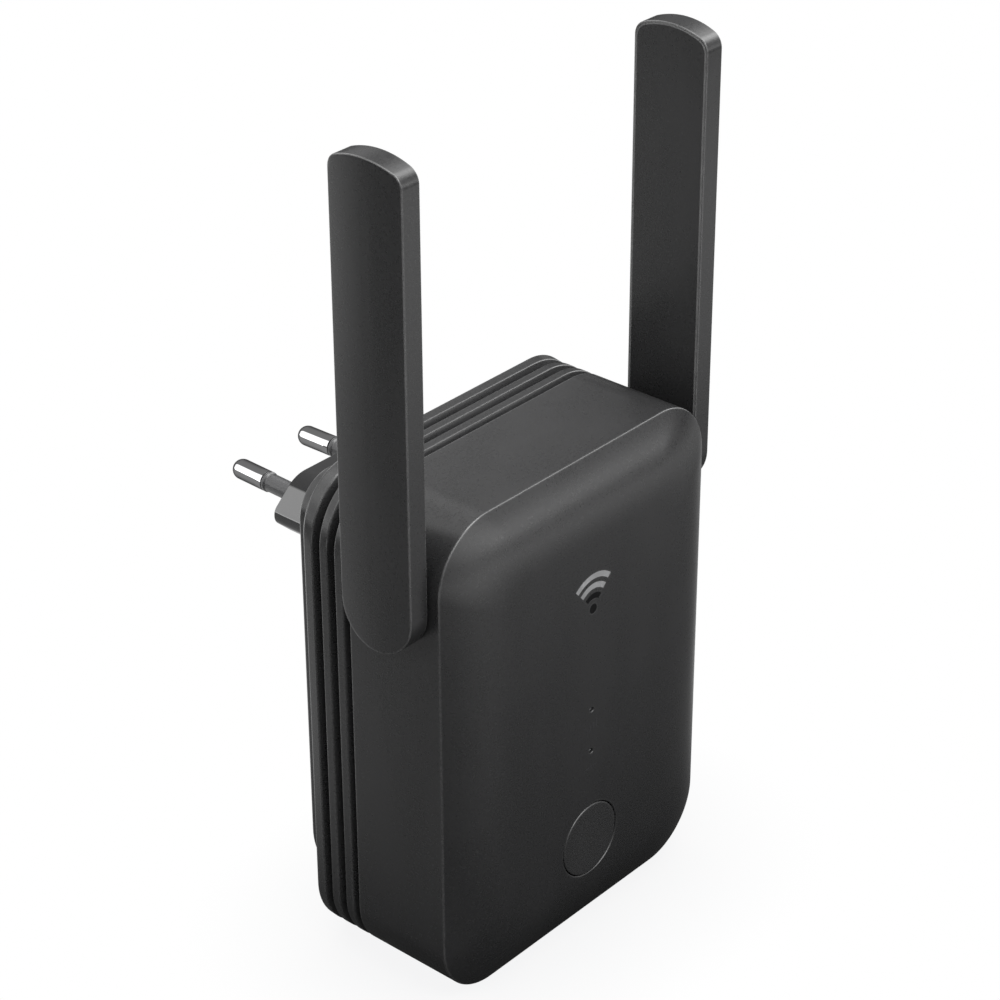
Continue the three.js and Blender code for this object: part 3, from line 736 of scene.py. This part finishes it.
def rear_shell():
    """From the floor of the hollow, over the tongue, along the rings and onto the pad."""
    floor_y, ledge_y = Y_PAD - WALL, RINGS_END - 2.0
    stations = [
        (pad_loop(5.0), floor_y), (pad_loop(2.6), floor_y), (pad_loop(2.0), floor_y - 0.6),
        (pad_loop(2.0), ledge_y), (case_loop(4.4), ledge_y),
        (case_loop(TONGUE_IN), RINGS_END - 2.8), (case_loop(TONGUE_IN), TONGUE_Y + 0.25),
        (case_loop(TONGUE_IN - 0.25), TONGUE_Y)]
    stations += [(ring_loop(inset, y), y) for inset, y in ring_profile()]
    stations += [(pad_loop(-0.25), RINGS_END), (pad_loop(-0.07), RINGS_END + 0.08),
                 (pad_loop(0), RINGS_END + 0.3)]
    pad_edge = fillet_path([(0.0, floor_y, 0), (0.0, Y_PAD, 0.55), (2.0, Y_PAD, 0)], 6)
    stations += [(pad_loop(inset), y) for inset, y in pad_edge]
    stations.append((pad_loop(5.0), Y_PAD))
    return loft([in_y(loop, y) for loop, y in stations])


def build_rear():
    rear = make_object(rear_shell())
    case_tube = [(0, -38), (4.6, -38), (4.6, -28.5), (4.2, -27.5), (4.2, -23.2), (0, -23.2)]
    tubes = [lathe(case_tube, 40, place) for place in CASE_SCREWS]
    tubes += [rod(2.3, POWER_Y1 + 0.1, -23.2, place, 28) for place in POWER_SCREWS]
    boolean(rear, merged(tubes), "UNION")

    head_well = [(0, -33.5), (3.3, -33.5), (3.3, Y_PAD - 0.3), (3.6, Y_PAD),
                 (4.6, Y_PAD + 1), (0, Y_PAD + 1)]
    cuts = [lathe(head_well, 48, place) for place in CASE_SCREWS]
    cuts += [rod(1.2, -30, -36, place, 20) for place in POWER_SCREWS]
    # clearance round the plug block, y
    opening = ((0.12, -30), (0.12, Y_PAD - 0.3), (0.42, Y_PAD), (1.42, Y_PAD + 1))
    cuts.append(loft([in_y(inset_polygon(PLUG, -gap), y) for gap, y in opening]))
    boolean(rear, merged(cuts))
    boolean(rear, merged([rod(1.6, -40, -33, place, 32) for place in CASE_SCREWS]))

    # slots behind the first two rings, through the top and bottom walls
    slots = []
    for ring_y in (RINGS[1][0], RINGS[0][0]):
        for x in (-18, -6, 6, 18):
            for z0, z1 in ((TOP - 6, TOP - GROOVE + 0.25),
                           (BOTTOM + GROOVE - 0.25, BOTTOM + 6)):
                slots.append(box(x - 4, x + 4, ring_y + 0.3, ring_y + 1.45, z0, z1,
                                 bevel=0.25, segments=2))
    boolean(rear, merged(slots))
    finish(rear, "rear_housing_skin", "rear_plastic", "rear_housing")


# ------------------------------------------------------------------ plug block and pins
def on_pin_axis(part, side):
    """Moves a piece turned about Y onto a pin's axis, which leans towards the middle."""
    lean = math.atan((PIN_BASE_X - PIN_TIP_X) / PIN_LEN)
    base = Matrix.Translation(Vector((side * PIN_BASE_X, 0, 0)) * MM)
    part.data.transform(base @ Matrix.Rotation(side * lean, 4, "Z"))
    return part


def build_plug():
    edge = fillet_path([(0, -2.0, 0), (0, 0.0, 0.22), (0.6, 0, 0)])
    rim = [in_y(inset_polygon(PLUG, inset), y) for inset, y in edge]
    plug = make_object(loft([in_y(PLUG, -25.5), in_y(PLUG, -12.0)] + rim))
    flange = box(-21, 21, -26.4, -24.46, -9.5, 9.5, bevel=0.4, segments=3)
    boolean(plug, make_object(flange), "UNION")
    base = box(-14.5, 14.5, -29, -26, -5.5, 5.5, bevel=0.4, segments=3)
    boolean(plug, make_object(base), "UNION")
    bore = [(0, -33), (1.3, -33), (1.3, -2), (1.92, -2), (1.92, -0.12), (2.04, 0.0),
            (3.0, 1.0), (0, 1.0)]
    for _, side in SIDES:
        boolean(plug, on_pin_axis(make_object(lathe(bore, 64)), side))
    finish(plug, "plug_block_skin", "plug_plastic", "plug_block")


def build_pins():
    dome = [(PIN_R * math.cos(a), PIN_LEN - PIN_R + PIN_R * math.sin(a))
            for a in (math.pi / 2 * i / 14 for i in range(14))]
    pin = [(0, -29.2), (1.1, -29.2), (1.25, -29.05), (1.25, SLEEVE_END + 0.12),
           (1.86, SLEEVE_END + 0.12), (1.95, SLEEVE_END + 0.16), (PIN_R, SLEEVE_END + 0.28),
           (PIN_R, 12.0), (PIN_R, 14.5)] + dome + [(0, PIN_LEN)]
    sleeve = fillet_path([
        (1.3, -1.6, 0), (1.80, -1.6, 0.1), (1.80, 9.2, 0.5), (2.00, 9.55, 0.3),
        (2.00, SLEEVE_END, 0.22), (1.3, SLEEVE_END, 0)])
    for name, side in SIDES:
        finish(on_pin_axis(make_object(lathe(pin, 72)), side), f"plug_pin_{name}_metal",
               "pin_metal", f"plug_pin_{name}", angle=38)
        finish(on_pin_axis(make_object(lathe(sleeve, 72)), side), f"pin_sleeve_{name}_skin",
               "sleeve_plastic", f"pin_sleeve_{name}", angle=50)


# ------------------------------------------------------------------ button and light pipes
def build_button():
    dish_r = 6.9
    radii = (0, 0.8, 1.6, 2.4, 3.2, 4.0, 4.8, 5.6, 6.3, dish_r)
    dish = [(r, Y_FRONT + 0.10 - 0.10 * (r / dish_r) ** 2) for r in radii]
    edge = fillet_path([(dish_r, Y_FRONT, 0), (BUTTON_R, Y_FRONT, 0.26),
                        (BUTTON_R, Y_FRONT + 1.5, 0)], 6)[1:]
    flange = [(BUTTON_R, -58.9), (8.4, -58.9), (8.4, -58.2), (1.5, -58.2), (1.5, -57.9),
              (0, -57.9)]
    button = make_object(lathe(dish + edge + flange, 120, (0, BUTTON_Z)))
    finish(button, "pair_button_cap", "button_plastic", "pair_button", body="pair_button",
           angle=30)


def build_light_pipes():
    board_y = MAIN_Y0 - 0.05
    profile = [
        (0, Y_FRONT + 0.42), (0.3, Y_FRONT + 0.44), (0.44, Y_FRONT + 0.55), (0.46, -59.55),
        (1.75, -59.5), (1.8, -59.4), (1.8, -58.8), (1.7, -58.7), (1.2, -58.65),
        (1.2, board_y - 1.05), (1.1, board_y - 0.95), (0, board_y - 0.95)]
    for name, z in zip(("upper", "lower"), LED_Z):
        finish(make_object(lathe(profile, 40, (0, z))), f"light_pipe_{name}_lens",
               "clear_plastic", f"light_pipe_{name}", angle=40)


# ------------------------------------------------------------------ antennas
def paddle(inset):
    """(y, z) outline: round below the pivot, straight sides, three-centred arch on top."""
    half, tip = ANT_HALF - inset, ANT_TIP - inset * 0.44
    arch_z = ANT_TOP - inset - tip
    small = 0.75 * tip                   # radius of the arch's corners
    big = (half * half + tip * tip - 2 * half * small) / (2 * (tip - small))
    turn = math.atan2(big - tip, half - small)
    corner_steps = ARC_STEPS * 3 // 10
    arch = arc_points(half - small, 0, small, 0, turn, corner_steps)[:-1]
    arch += arc_points(0, tip - big, big, turn, math.pi / 2, ARC_STEPS // 2 - corner_steps)

    heights = [i / (SIDE_POINTS + 1) for i in range(1, SIDE_POINTS + 1)]
    points = arc_points(ANT_Y, ANT_Z, half, math.pi, 2 * math.pi, ARC_STEPS)
    points += [(ANT_Y + half, ANT_Z + (arch_z - ANT_Z) * t) for t in heights]
    points += [(ANT_Y + y, arch_z + z) for y, z in arch]
    points += [(ANT_Y - y, arch_z + z) for y, z in reversed(arch[:-1])]
    points += [(ANT_Y - half, arch_z + (ANT_Z - arch_z) * t) for t in heights]
    return points


def paddle_ring(side, inset, x, crowned=False):
    crown = ANT_CROWN if crowned else 0
    return [(side * (x - crown * ((y - ANT_Y) / ANT_HALF) ** 2), y, z)
            for y, z in paddle(inset)]


def build_antenna_shell(name, side):
    quarter = [math.pi / 2 * i / 5 for i in range(6)]
    stations = [(7.3, 37.4), (0.42, 37.4), (0.42, ANT_IN + 0.02), (0.40, ANT_IN)]
    stations += [(ANT_BEVEL * (1 - math.sin(a)), ANT_IN + ANT_BEVEL * (1 - math.cos(a)))
                 for a in quarter]
    crowned = [(ANT_BEVEL * (1 - math.cos(a)), ANT_OUT - ANT_BEVEL * (1 - math.sin(a)))
               for a in quarter]
    crowned += [(inset, ANT_OUT)
                for inset in (0.7, 1.3, 2.0, 2.8, 3.6, 4.4, 5.2, 6.0, 6.7, 7.3)]
    loops = [paddle_ring(side, *station) for station in stations]
    loops += [paddle_ring(side, *station, crowned=True) for station in crowned]
    shell = make_object(loft(loops))
    cavity = ((1.1, 37.0), (1.1, ANT_OUT - 1.7), (2.0, ANT_OUT - 1.2))
    boolean(shell, make_object(loft([paddle_ring(side, *station) for station in cavity])))
    finish(shell, f"antenna_shell_{name}_skin", "antenna_plastic", f"antenna_shell_{name}",
           body=f"antenna_{name}", angle=40)


def build_antenna_cover(name, side):
    """Inner face of the paddle, with the hollow pivot that enters the case."""
    plate = ((0.46, 37.35), (0.46, ANT_IN + 0.02), (0.48, ANT_IN))
    cover = make_object(loft([paddle_ring(side, *station) for station in plate]))
    # radius, distance from the middle
    pivot = [(0, 30.6), (3.55, 30.6), (3.8, 30.85), (3.8, 31.3), (3.2, 31.35), (3.2, 32.45),
             (3.8, 32.5), (3.8, 36.2), (4.0, 36.42), (4.0, 37.0), (0, 37.0)]
    bore = [(0, 30.0), (2.5, 30.3), (2.2, 30.9), (2.2, 38), (0, 38)]
    for profile, steps, operation in ((pivot, 64, "UNION"), (bore, 48, "DIFFERENCE")):
        sided = [(radius, side * x) for radius, x in profile]
        tool = lathe(sided, steps, (ANT_Y, ANT_Z), axis="x")
        boolean(cover, make_object(tool), operation)
    finish(cover, f"antenna_cover_{name}_skin", "antenna_plastic", f"antenna_cover_{name}",
           body=f"antenna_{name}", angle=40)


# ------------------------------------------------------------------ screws
def screw_profile(head_y, head_h, head_r, shank_r, length, way):
    """Domed head and threaded shank."""
    points = [(0, head_y + way * head_h)]
    for i in range(9):
        a = math.pi / 2 * i / 8
        points.append((head_r * (0.55 + 0.45 * math.sin(a)),
                       head_y + way * head_h * (0.45 + 0.55 * math.cos(a))))
    points += [(head_r, head_y + way * 0.12), (head_r - 0.12, head_y),
               (shank_r * 1.15, head_y)]
    root, crest, pitch, depth = shank_r * 0.78, shank_r * 1.2, 0.9, 0.5
    while depth + pitch < length - 1.0:
        points += [(root, head_y - way * depth), (root, head_y - way * (depth + pitch * 0.4)),
                   (crest, head_y - way * (depth + pitch * 0.62)),
                   (crest, head_y - way * (depth + pitch * 0.72))]
        depth += pitch
    return points + [(root, head_y - way * (length - 0.9)), (0, head_y - way * length)]


def build_screws(name, places, head_y, head_h, head_r, shank_r, length, way):
    """Screws with a cross recess; way is +1 where the head faces +Y."""
    arm, half = head_r * 0.6, 0.3        # half length and half width of the cross
    low, high = sorted((head_y + way * (head_h - 1.0), head_y + way * (head_h + 0.5)))
    for i, (x, z) in enumerate(places, start=1):
        profile = screw_profile(head_y, head_h, head_r, shank_r, length, way)
        screw = make_object(lathe(profile, 40, (x, z)))
        for half_x, half_z in ((arm, half), (half, arm)):
            recess = box(x - half_x, x + half_x, low, high, z - half_z, z + half_z,
                         bevel=0.08, segments=1)
            boolean(screw, make_object(recess))
        finish(screw, f"{name}_{i}_steel", "screw_steel", f"{name}_{i}", angle=35)


# ------------------------------------------------------------------ printed marks
def bar(x0, x1, z0, z1):
    return [(x1, z0), (x1, z1), (x0, z1), (x0, z0)]


def build_marks():
    """Four rising bars under the upper light; two dashes and a dot under the lower."""
    upper, lower = (z - MARK_DROP for z in LED_Z)
    base = upper - 0.8
    shapes = [bar(-1.5 + 0.85 * i, -1.05 + 0.85 * i, base, base + 0.45 * (i + 1))
              for i in range(4)]
    shapes += [bar(-1.6, -0.5, lower - 0.15, lower + 0.15),
               bar(0.5, 1.6, lower - 0.15, lower + 0.15), circle(lower, 0.32, 16)]
    marks = merged([prism(shape, Y_FRONT - 0.015, Y_FRONT + 0.05) for shape in shapes])
    finish(marks, "indicator_marks", "marking_ink", weighted=False)


# ------------------------------------------------------------------ pieces kept from the CAD
KEPT_PARTS = {
    "contact_metal": "mains_contact_left mains_contact_right",
    "circuit_board": "power_board main_board antenna_element_left antenna_element_right",
    "ferrite": "transformer_core line_choke",
    "winding_tape": "transformer_winding",
    "capacitor_sleeve": "bulk_capacitor_upper bulk_capacitor_lower output_capacitor",
    "component_black": "bridge_rectifier board_link_header wifi_chip switch_body",
    "fuse_glass": "mains_fuse",
    "thermal_pad": "thermal_pad",
    "tinned_steel": "rf_shield ethernet_jack",
    "white_plastic": "status_led_upper status_led_lower switch_plunger",
    "cable_jacket": "antenna_coax_left antenna_coax_right "
                    "coax_pigtail_left coax_pigtail_right",
    "screw_steel": "pivot_clip_left pivot_clip_right",
    "sleeve_plastic": "friction_washer_left friction_washer_right",
    "connector_brass": "coax_connector_left coax_connector_right",
}


def dress_kept_parts():
    """Gives the visible CAD pieces their material and softened edges."""
    finishes = {part: material for material, parts in KEPT_PARTS.items()
                for part in parts.split()}
    for name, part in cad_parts.items():
        if part.hide_render:
            continue
        if name not in finishes:
            raise SystemExit(f"no finish for {name}")
        for slot in part.material_slots:
            slot.material = MATERIALS[finishes[name]]
        bevel = part.modifiers.new("edge", "BEVEL")
        bevel.width = 0.08 * MM
        bevel.segments = 2
        bevel.limit_method = "ANGLE"
        bevel.angle_limit = math.radians(50)


# ------------------------------------------------------------------ floor
FLOOR_Z = (BOTTOM - 0.01) * MM
# Pools of light the object sees on the floor, in metres: x, y, spread, strength
FLOOR_POOLS = (
    (0.074, 0.002, 0.0230, 2.315), (-0.042, 0.034, 0.0230, 0.911),
    (-0.085, -0.040, 0.0230, 0.301), (0.000, -0.125, 0.0230, 0.176),
    (0.074, -0.083, 0.0230, 0.080), (0.135, -0.004, 0.0378, 0.093),
    (0.099, 0.059, 0.0378, 1.580), (-0.036, 0.095, 0.0378, 0.685),
    (-0.099, 0.059, 0.0378, 0.327), (0.036, -0.175, 0.0378, 0.106),
    (0.135, -0.076, 0.0378, 0.035), (0.199, 0.075, 0.0621, 0.698),
    (0.000, 0.190, 0.0621, 1.190), (-0.115, 0.159, 0.0621, 0.035),
    (0.000, -0.270, 0.0621, 0.322), (0.115, -0.239, 0.0621, 0.118),
    (-0.098, 0.327, 0.1026, 3.433), (-0.367, -0.138, 0.1026, 2.887),
    (-0.098, -0.407, 0.1026, 1.180), (0.098, -0.407, 0.1026, 1.746),
    (0.269, -0.309, 0.1026, 0.876), (0.367, -0.138, 0.1026, 0.431),
)
FLOOR_MIRROR = 0.42                      # even strength seen in mirror reflections


def floor_pool(graph, position, x, y, spread, strength):
    """Round pool of light, fading as a bell curve."""
    inputs = {1: (x, y, FLOOR_Z), 0: position}
    distance = graph.add("VectorMath", inputs, operation="DISTANCE").outputs["Value"]
    squared = graph.math("POWER", distance, 2.0)
    fall = graph.math("EXPONENT", graph.math("MULTIPLY", squared, -1 / (2 * spread ** 2)))
    return graph.math("MULTIPLY", fall, strength)


def build_floor():
    """White floor with a contact shadow to the camera, see-through from below."""
    grid = bmesh.new()
    bmesh.ops.create_grid(grid, x_segments=8, y_segments=8, size=1.5)
    for v in grid.verts:
        v.co.z = FLOOR_Z
    floor = make_object(grid, "studio_floor")

    material = bpy.data.materials.new("studio_floor")
    graph = Graph(material)
    contact = graph.add("AmbientOcclusion", {"Distance": 0.03}, samples=12).outputs["AO"]
    white = graph.mix(graph.remap(contact, span=(0.35, 1.0)),
                      (0.90, 0.90, 0.905), (1.0, 1.0, 1.0))
    glow = graph.add("Emission", {"Color": white})
    clear = graph.add("BsdfTransparent")
    geometry = graph.add("NewGeometry").outputs
    seen = graph.add("MixShader", {0: geometry["Backfacing"], 1: glow.outputs[0],
                                   2: clear.outputs[0]})
    pools = graph.total(floor_pool(graph, geometry["Position"], *pool)
                        for pool in FLOOR_POOLS)
    rays = graph.add("LightPath").outputs
    strength = graph.add("Mix", {"Factor": rays["Is Singular Ray"], "A": pools,
                                 "B": FLOOR_MIRROR}).outputs["Result"]
    lit = graph.add("Emission", {"Strength": strength})
    graph.end_with(graph.add("MixShader", {0: rays["Is Camera Ray"], 1: lit.outputs[0],
                                           2: seen.outputs[0]}))
    floor.data.materials.append(material)


# ------------------------------------------------------------------ surroundings
# Smooth lobes of light: direction x, y, z, strength
LOBES = (
    (0.111, 0.000, 0.994, 6.747), (-0.141, 0.129, 0.981, 4.207),
    (0.306, -0.194, 0.932, 5.092), (-0.102, 0.379, 0.920, 0.947),
    (0.419, 0.153, 0.895, 3.136), (-0.434, 0.179, 0.883, 1.716),
    (0.209, -0.446, 0.870, 9.649), (0.540, -0.119, 0.833, 0.046),
    (-0.030, 0.650, 0.759, 0.114), (-0.426, -0.511, 0.747, 0.266),
    (0.155, -0.687, 0.710, 4.149), (0.672, -0.310, 0.673, 1.603),
    (-0.290, 0.693, 0.660, 1.566), (-0.258, -0.717, 0.648, 11.002),
    (-0.756, 0.199, 0.623, 4.912), (0.816, -0.068, 0.574, 7.352),
    (-0.562, 0.607, 0.562, 0.276), (-0.465, -0.739, 0.488, 0.375),
    (0.339, 0.833, 0.438, 4.557), (-0.463, 0.790, 0.401, 0.765),
    (-0.663, -0.673, 0.327, 2.702), (0.948, 0.048, 0.315, 2.059),
    (0.132, -0.948, 0.290, 1.171), (-0.300, 0.923, 0.241, 0.375),
    (0.461, -0.867, 0.191, 0.509), (-0.610, 0.780, 0.142, 1.849),
    (-0.077, -0.989, 0.130, 0.670), (0.741, -0.665, 0.093, 0.207),
    (-0.097, 0.992, 0.080, 1.631), (0.981, 0.183, 0.056, 2.082),
    (-0.848, 0.528, 0.043, 2.021), (0.269, -0.963, 0.031, 1.370),
    (-0.433, 0.901, -0.019, 2.138), (0.582, -0.811, -0.068, 3.517),
)
LOBE_SHARPNESS = 30.0
# Softbox seen in mirror reflections: angles in the XZ plane from +X towards +Z, strengths
SOFTBOX_ANGLE, STRIP_ANGLE = 152, 183
SOFTBOX_LIGHT, STRIP_LIGHT, ROOM_LIGHT = 2.3, 1.6, 0.33


def lobe_light(graph, direction, x, y, z, strength):
    cosine = graph.dot(direction, Vector((x, y, z)).normalized())
    fall = graph.math("MULTIPLY", graph.math("SUBTRACT", cosine, 1.0), LOBE_SHARPNESS)
    return graph.math("MULTIPLY", graph.math("POWER", math.e, fall), strength)


def softbox_light(graph, direction):
    """An even room with a long softbox behind on the left, brighter along its lower edge."""
    flat = graph.add("VectorMath", {1: (1, 0, 1), 0: direction}, operation="MULTIPLY")
    unit = graph.add("VectorMath", {0: flat.outputs[0]}, operation="NORMALIZE").outputs[0]

    def cosine_to(degrees):
        angle = math.radians(degrees)
        return graph.dot(unit, (math.cos(angle), 0, math.sin(angle)))

    across = cosine_to(SOFTBOX_ANGLE)
    depth = graph.add("SeparateXYZ", {0: direction}).outputs["Y"]
    softbox = graph.remap(across, span=(0.765, 0.830))
    softbox = graph.math("MULTIPLY", softbox,
                         graph.remap(depth, span=(0.97, 0.93)))
    softbox = graph.math("MULTIPLY", softbox, graph.remap(depth, span=(0.0, 0.06)))
    edge = graph.remap(cosine_to(STRIP_ANGLE), span=(0.990, 0.997), to=(0.0, STRIP_LIGHT))
    strip = graph.math("MULTIPLY", softbox, edge)
    lit = graph.math("ADD", graph.math("MULTIPLY", softbox, SOFTBOX_LIGHT), strip)
    return graph.math("ADD", lit, ROOM_LIGHT)


def build_world():
    """Lobes for soft light, the softbox for mirror reflections, plain white to the camera."""
    world = bpy.data.worlds.new("studio")
    bpy.context.scene.world = world
    graph = Graph(world, output="OutputWorld")
    direction = graph.add("TexCoord").outputs["Generated"]
    soft = graph.total(lobe_light(graph, direction, *lobe) for lobe in LOBES)
    sharp = softbox_light(graph, direction)
    rays = graph.add("LightPath").outputs
    strength = graph.add("Mix", {"Factor": rays["Is Singular Ray"], "A": soft,
                                 "B": sharp}).outputs["Result"]
    white = (1, 1, 1, 1)
    lighting = graph.add("Background", {"Color": white, "Strength": strength})
    backdrop = graph.add("Background", {"Color": white, "Strength": 1.0})
    graph.end_with(graph.add("MixShader", {
        0: rays["Is Camera Ray"], 1: lighting.outputs[0], 2: backdrop.outputs[0]}))


# ------------------------------------------------------------------ camera
CAMERA_PLACE = (-0.3421165, -0.3391161, 0.2687988)           # metres
CAMERA_RIGHT = (0.6567666, -0.7540868, -0.0032728)
CAMERA_UP = (0.3743773, 0.3222876, 0.8694667)
CAMERA_FORWARD = (0.6545985, 0.5722620, -0.4939807)


def build_camera():
    data = bpy.data.cameras.new("camera")
    data.sensor_width = 36.0
    data.lens = 105.1648
    data.clip_start = 0.01
    camera = bpy.data.objects.new("camera", data)
    scene = bpy.context.scene
    scene.collection.objects.link(camera)
    axes = Matrix((Vector(CAMERA_RIGHT), Vector(CAMERA_UP), -Vector(CAMERA_FORWARD)))
    turn = axes.transposed().to_4x4()
    camera.matrix_world = Matrix.Translation(Vector(CAMERA_PLACE)) @ turn
    scene.camera = camera
    scene.view_settings.view_transform = "Standard"
    scene.view_settings.look = "None"


# ------------------------------------------------------------------ build
build_front()
build_badge()
build_rear()
build_plug()
build_pins()
build_button()
build_light_pipes()
for side_name, side_sign in SIDES:
    build_antenna_shell(side_name, side_sign)
    build_antenna_cover(side_name, side_sign)
build_screws("case_screw", CASE_SCREWS, head_y=-33.45, head_h=2.0, head_r=2.8,
             shank_r=1.2, length=11.5, way=1)
build_screws("main_board_screw", MAIN_SCREWS, head_y=MAIN_Y1 + 0.05, head_h=1.3, head_r=1.9,
             shank_r=0.9, length=4.6, way=1)
build_screws("power_board_screw", POWER_SCREWS, head_y=POWER_Y0 - 0.05, head_h=1.3,
             head_r=2.1, shank_r=0.9, length=7.5, way=-1)
build_marks()
dress_kept_parts()
build_floor()
build_world()
build_camera()
